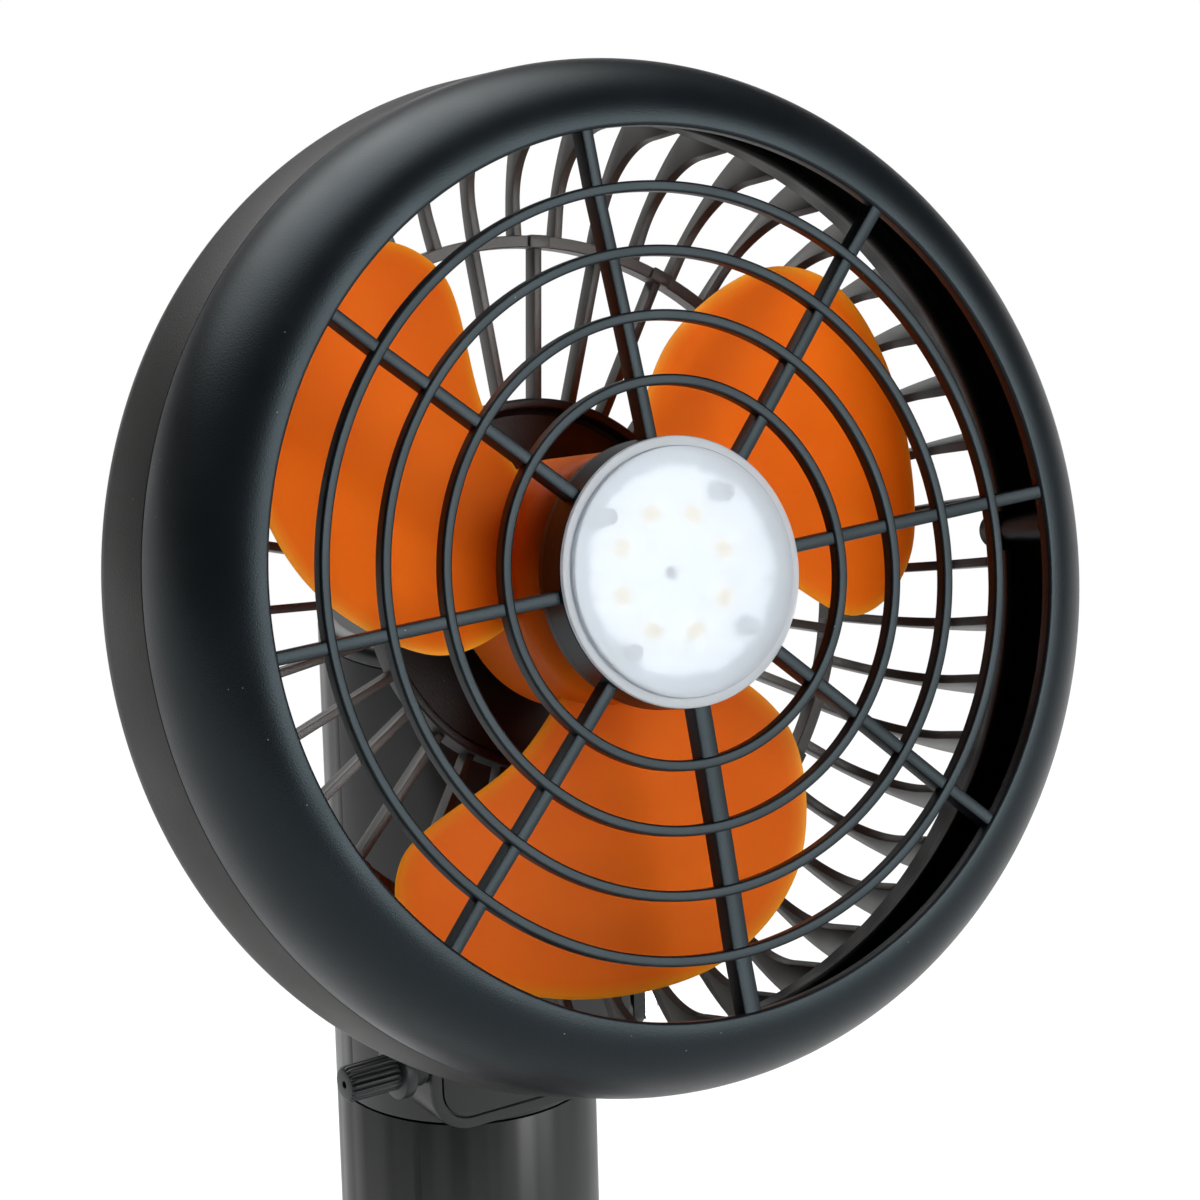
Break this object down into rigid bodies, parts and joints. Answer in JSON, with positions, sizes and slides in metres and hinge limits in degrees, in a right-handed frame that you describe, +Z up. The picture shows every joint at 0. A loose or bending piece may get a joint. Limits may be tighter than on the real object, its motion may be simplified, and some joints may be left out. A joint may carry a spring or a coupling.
{
  "type": "portable camping fan",
  "caption": "Portable camping fan: a caged, tilting fan head with a round lamp at its centre, clamped to a round battery column that swivels and stands on folding legs.",
  "frame": {"origin": "centre of the tripod socket's mouth in the underside of the base hub, on the column's axis", "axes": "+Z up the column, -Y the way the fan faces, +X towards the fan's left as seen from behind it"},
  "size_m": [0.21, 0.1934, 0.4446],
  "materials": {
    "front_plastic": "fine spark-eroded blue-black moulding",
    "rear_plastic": "fine spark-eroded grey-black moulding",
    "arm_plastic": "satin moulding",
    "column_satin": "satin dark grey",
    "knob_plastic": "satin, fluted",
    "blade_orange": "translucent orange, satin",
    "lens_frosted": "frosted, translucent",
    "lamp_black": "matt",
    "board_white": "white solder mask",
    "chip_yellow": "phosphor yellow",
    "board_green": "green solder mask",
    "dark_plastic": "matt",
    "button_plastic": "satin",
    "status_green": "clear light pipe",
    "zinc_steel": "bright zinc",
    "lamination": "laminated, lacquered",
    "magnet": "bonded ferrite",
    "brass": "turned",
    "cell_wrap": "shrink-wrapped",
    "flap_rubber": "matt",
    "foot_rubber": "matt"
  },
  "bodies": {
    "base": {"body_tube": "column_satin", "control_panel": "dark_plastic", "status_lens": "status_green", "control_board": "board_green", "battery_cells": "cell_wrap", "cell_cradles": "dark_plastic", "charge_board": "board_green", "usb_socket": "zinc_steel", "base_hub": "column_satin", "hub_screws": "zinc_steel", "tripod_insert": "brass", "leg_pins": "zinc_steel", "swivel_post": "dark_plastic", "swivel_clip": "zinc_steel"},
    "neck": {"neck_front": "column_satin", "neck_rear": "column_satin", "neck_screws": "zinc_steel", "hinge_panel": "column_satin", "neck_cap": "column_satin", "neck_base": "dark_plastic", "friction_washers": "dark_plastic"},
    "head": {"front_guard": "front_plastic", "lamp_back": "lamp_black", "led_board": "board_white", "led_chips": "chip_yellow", "led_lens": "lens_frosted", "rear_guard": "rear_plastic", "guard_screws": "zinc_steel", "rear_cap": "dark_plastic", "bearing_tube": "brass", "motor_bearings": "zinc_steel", "motor_stator": "lamination", "motor_driver_board": "board_green", "tilt_arm": "arm_plastic", "arm_screws": "zinc_steel", "hinge_nut": "zinc_steel"},
    "fan": {"impeller": "blade_orange", "rotor_cup": "zinc_steel", "rotor_magnet": "magnet", "motor_shaft": "zinc_steel", "shaft_clip": "zinc_steel"},
    "clamp": {"clamp_knob": "knob_plastic", "hinge_bolt": "zinc_steel"},
    "power_key": {"power_button": "button_plastic"},
    "light_key": {"light_button": "button_plastic"},
    "flap": {"port_flap": "flap_rubber"},
    "leg_f": {"front_leg": "column_satin", "front_foot": "foot_rubber"},
    "leg_l": {"left_leg": "column_satin", "left_foot": "foot_rubber"},
    "leg_r": {"right_leg": "column_satin", "right_foot": "foot_rubber"}
  },
  "joints": [
    {"name": "neck_swivel", "type": "hinge", "parent": "base", "child": "neck", "pos_m": [0, 0, 0.1424], "axis": [0, 0, 1], "range_deg": [-150, 150]},
    {"name": "head_tilt", "type": "hinge", "parent": "neck", "child": "head", "pos_m": [0, -0.0235, 0.159], "axis": [1, 0, 0], "range_deg": [-4, 90]},
    {"name": "impeller_spin", "type": "hinge", "parent": "head", "child": "fan", "pos_m": [0, -0.06334, 0.27555], "axis": [0, -0.9397, 0.342], "continuous": true},
    {"name": "clamp_turn", "type": "hinge", "parent": "head", "child": "clamp", "pos_m": [0, -0.0235, 0.159], "axis": [1, 0, 0], "range_deg": [0, 360]},
    {"name": "power_press", "type": "slide", "parent": "base", "child": "power_key", "axis": [0, -1, 0], "range_m": [0, 0.0008], "stiffness_N_per_m": 700, "springref_m": -0.0008},
    {"name": "light_press", "type": "slide", "parent": "base", "child": "light_key", "axis": [0, -1, 0], "range_m": [0, 0.0008], "stiffness_N_per_m": 700, "springref_m": -0.0008},
    {"name": "flap_hinge", "type": "hinge", "parent": "base", "child": "flap", "pos_m": [0.0283, 0, 0.08745], "axis": [0, 1, 0], "range_deg": [0, 110]},
    {"name": "front_leg_fold", "type": "hinge", "parent": "base", "child": "leg_f", "pos_m": [0, -0.02, -0.008], "axis": [1, 0, 0], "range_deg": [0, 58]},
    {"name": "right_leg_fold", "type": "hinge", "parent": "base", "child": "leg_r", "pos_m": [0.01732, 0.01, -0.008], "axis": [-0.5, 0.866, 0], "range_deg": [0, 58]},
    {"name": "left_leg_fold", "type": "hinge", "parent": "base", "child": "leg_l", "pos_m": [-0.01732, 0.01, -0.008], "axis": [-0.5, -0.866, 0], "range_deg": [0, 58]}
  ]
}
